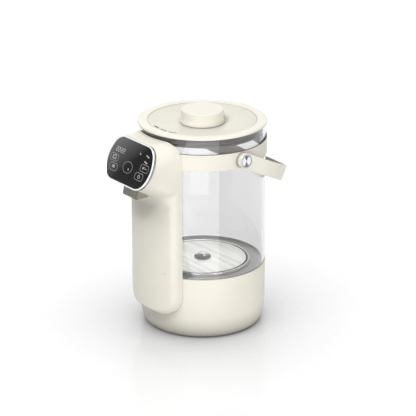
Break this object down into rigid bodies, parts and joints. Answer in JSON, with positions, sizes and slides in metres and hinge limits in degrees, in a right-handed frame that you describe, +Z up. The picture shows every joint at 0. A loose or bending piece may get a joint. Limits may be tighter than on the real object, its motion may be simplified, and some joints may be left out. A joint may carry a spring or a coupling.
{
  "type": "hot water dispenser",
  "caption": "Tabletop hot water dispenser: glass vessel on a heated base, lift-off lid, front column with touch panel and pumped spout, swinging carry handle.",
  "frame": {"origin": "on the vessel's axis at the face of the rubber foot, where the dispenser stands on the table", "axes": "+Z up along the vessel's axis, -Y towards the front with the column and panel, +X to the right as seen from the front"},
  "size_m": [0.1816, 0.2332, 0.2808],
  "materials": {
    "cream_plastic": "satin moulded cream",
    "lid_plastic": "satin moulded cream",
    "foot_rubber": "matt",
    "zinc_steel": "zinc plated",
    "vessel_steel": "fine brushed",
    "heater_steel": "heat dulled",
    "pad_aluminium": "cast",
    "grey_silicone": "soft matt grey",
    "hose_silicone": "translucent white",
    "bright_chrome": "polished",
    "clear_glass": "clear",
    "black_glass": "polished black with printed keys",
    "spout_plastic": "satin grey beige",
    "white_plastic": "natural white",
    "dark_plastic": "moulded black",
    "circuit_board": "green resist",
    "coil_yellow": "taped winding",
    "contact_brass": "bright",
    "lead_sheath": "sleeved lead"
  },
  "bodies": {
    "root": {"base_shell": "cream_plastic", "bottom_cover": "cream_plastic", "foot_ring": "foot_rubber", "bottom_screws": "zinc_steel", "heating_plate": "vessel_steel", "plate_seal": "grey_silicone", "heater_pad": "pad_aluminium", "heater_element": "heater_steel", "thermostat": "dark_plastic", "water_sensor": "zinc_steel", "outlet_fitting": "vessel_steel", "outlet_strainer": "bright_chrome", "glass_cylinder": "clear_glass", "collar": "cream_plastic", "pivot_screws": "bright_chrome", "column_shell": "cream_plastic", "column_back": "cream_plastic", "column_screws": "zinc_steel", "panel_bezel": "bright_chrome", "panel_glass": "black_glass", "display_carrier": "white_plastic", "display_board": "circuit_board", "digit_display": "dark_plastic", "touch_springs": "zinc_steel", "spout_block": "spout_plastic", "spout_nozzle": "grey_silicone", "inlet_hose": "hose_silicone", "outlet_hose": "hose_silicone", "pump_body": "white_plastic", "pump_cap": "white_plastic", "pump_motor": "zinc_steel", "pump_saddle": "white_plastic", "main_board": "circuit_board", "transformer": "coil_yellow", "relay": "dark_plastic", "capacitors": "dark_plastic", "board_sockets": "white_plastic", "buzzer": "dark_plastic", "board_screws": "zinc_steel", "power_inlet": "dark_plastic", "inlet_pins": "contact_brass", "display_ribbon": "white_plastic", "mains_leads": "lead_sheath", "heater_leads": "lead_sheath"},
    "lid": {"lid_rim": "lid_plastic", "lid_dish": "lid_plastic", "lid_knob": "lid_plastic", "lid_plug": "lid_plastic", "plug_seal": "grey_silicone", "steam_baffle": "grey_silicone", "knob_screw": "zinc_steel"},
    "handle": {"handle_strap": "cream_plastic"},
    "pump_rotor": {"pump_impeller": "dark_plastic"}
  },
  "joints": [
    {"name": "lid_lift", "type": "slide", "parent": "root", "child": "lid", "axis": [0, 0, 1], "range_m": [0, 0.12]},
    {"name": "handle_swing", "type": "hinge", "parent": "root", "child": "handle", "pos_m": [0, 0, 0.23538], "axis": [1, 0, 0], "range_deg": [0, 118]},
    {"name": "pump_spin", "type": "hinge", "parent": "root", "child": "pump_rotor", "pos_m": [-0.01, -0.038, 0.025], "axis": [1, 0, 0], "continuous": true}
  ]
}
